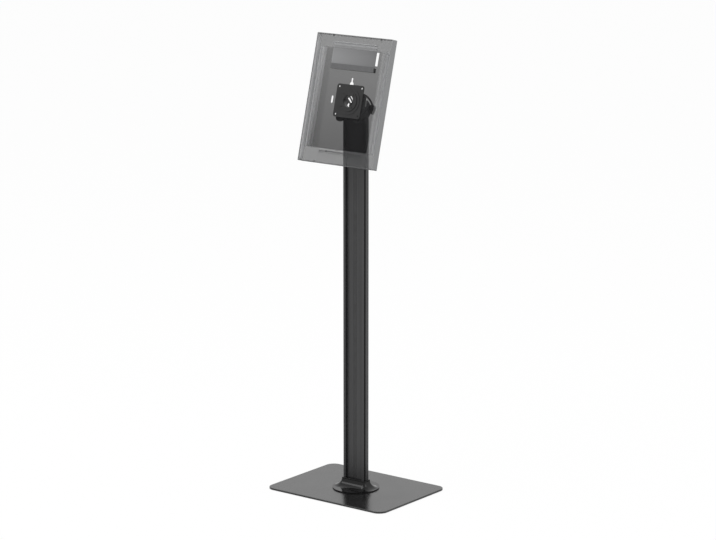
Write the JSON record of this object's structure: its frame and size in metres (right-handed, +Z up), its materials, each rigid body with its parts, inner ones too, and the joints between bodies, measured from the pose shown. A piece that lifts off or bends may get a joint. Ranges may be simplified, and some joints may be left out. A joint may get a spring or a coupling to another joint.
{
  "type": "tablet floor stand",
  "caption": "Free-standing tablet stand: flat base plate, tall column and a tilting, turning enclosure with a windowed front frame.",
  "frame": {"origin": "on the floor under the centre of the base plate", "axes": "+Z up, +X to the right seen from the front, the front faces -Y"},
  "size_m": [0.4, 0.3, 1.2617],
  "materials": {
    "base_coat": "satin powder coat, near black",
    "rubber": "matte",
    "column_coat": "black anodised, satin",
    "strip_plastic": "satin",
    "dark_steel": "blackened",
    "bracket_coat": "satin powder coat, near black",
    "washer_plastic": "matte",
    "knob_plastic": "fine texture",
    "plate_coat": "satin powder coat, dark grey",
    "smoked_shell": "smoked, translucent",
    "smoked_face": "smoked, translucent",
    "rail_grey": "satin",
    "pad_foam": "closed-cell foam, grey",
    "holder_grey": "satin grey",
    "strip_foam": "closed-cell foam, dark"
  },
  "bodies": {
    "stand": {"base_plate": "base_coat", "rubber_feet": "rubber", "column_screws": "dark_steel", "column": "column_coat", "cover_strip": "strip_plastic", "cable_grommet": "rubber", "foot_collar": "base_coat", "head_bracket": "bracket_coat", "bracket_screws": "dark_steel", "pivot_screws": "dark_steel", "friction_washers": "washer_plastic", "clamp_washers": "dark_steel", "clamp_spacer": "bracket_coat", "clamp_nut": "dark_steel"},
    "yoke": {"tilt_yoke": "bracket_coat", "hub_washers": "washer_plastic"},
    "knob": {"clamp_knob": "knob_plastic", "clamp_stud": "dark_steel"},
    "enclosure": {"hub_rotor": "bracket_coat", "hub_lock_ring": "dark_steel", "hub_clamp_ring": "plate_coat", "hub_screws": "dark_steel", "vesa_plate": "plate_coat", "rear_cover": "smoked_shell", "front_frame": "smoked_face", "frame_screws": "dark_steel", "support_rails": "rail_grey", "rail_pads": "pad_foam", "upper_holder": "holder_grey", "lower_holder": "holder_grey", "holder_pads": "strip_foam", "holder_screws": "dark_steel"}
  },
  "joints": [
    {"name": "tilt", "type": "hinge", "parent": "stand", "child": "yoke", "pos_m": [0, -0.0325, 1.0405], "axis": [-1, 0, 0], "range_deg": [-9, 35]},
    {"name": "turn", "type": "hinge", "parent": "yoke", "child": "enclosure", "pos_m": [0, -0.02991, 1.08805], "axis": [0, -0.9659, 0.2588], "range_deg": [-90, 90]},
    {"name": "clamp", "type": "hinge", "parent": "stand", "child": "knob", "pos_m": [0, 0.02777, 1.06485], "axis": [1, 0, 0], "range_deg": [-180, 180]}
  ]
}
